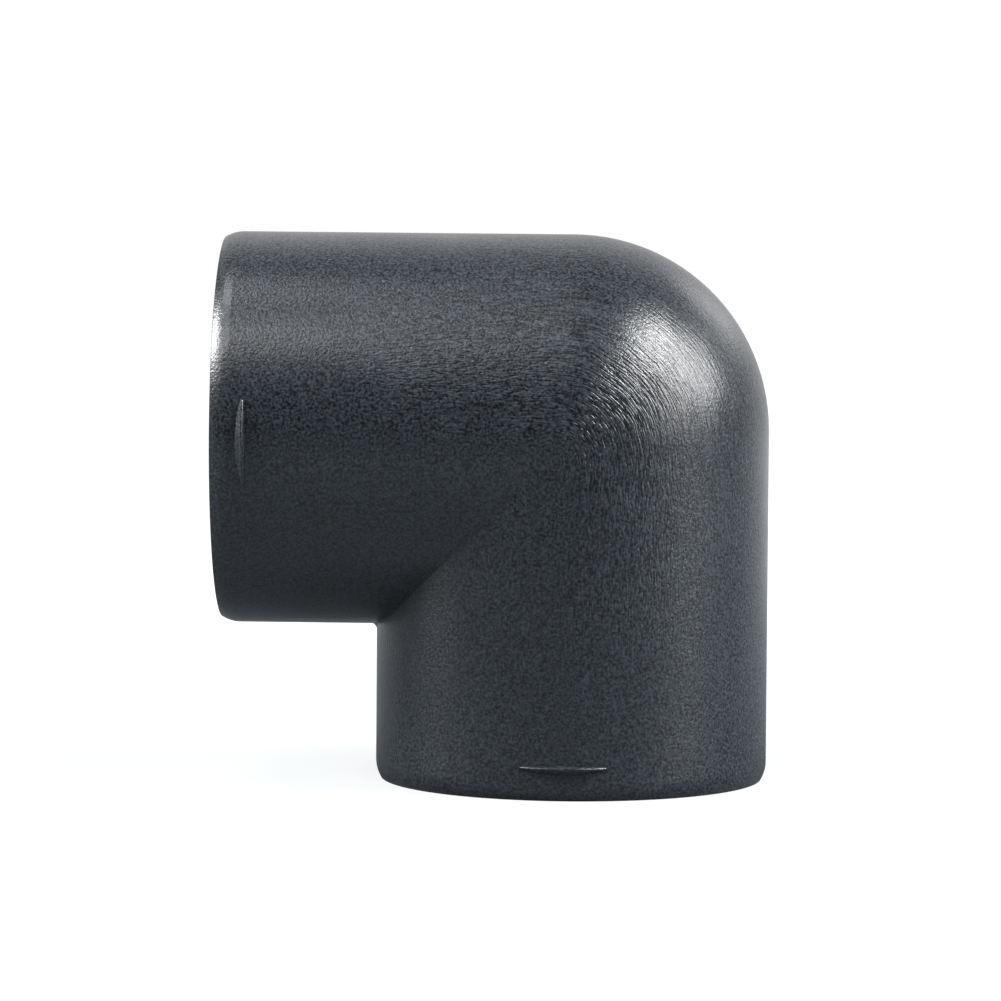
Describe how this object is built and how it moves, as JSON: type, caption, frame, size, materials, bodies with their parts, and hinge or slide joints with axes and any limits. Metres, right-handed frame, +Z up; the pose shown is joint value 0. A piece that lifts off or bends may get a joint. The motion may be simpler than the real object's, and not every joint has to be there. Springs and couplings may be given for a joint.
{
  "type": "air duct elbow",
  "caption": "Right-angled elbow for flexible air duct hose: a thin-walled moulded tube with two equal round legs, raised hose lugs near each mouth and a ball-shaped outer bend.",
  "frame": {"origin": "centre of the lower mouth, in the plane of its face, which the elbow stands on", "axes": "+Z up the lower leg's axis; -X out of the side leg's mouth; Y across the two legs, the direction in which the mould halves open"},
  "size_m": [0.1045, 0.0778, 0.1045],
  "materials": {
    "moulded_plastic": "as moulded, dark slate grey, satin with a faint flow grain"
  },
  "bodies": {
    "root": {"elbow_body": "moulded_plastic"}
  },
  "joints": []
}
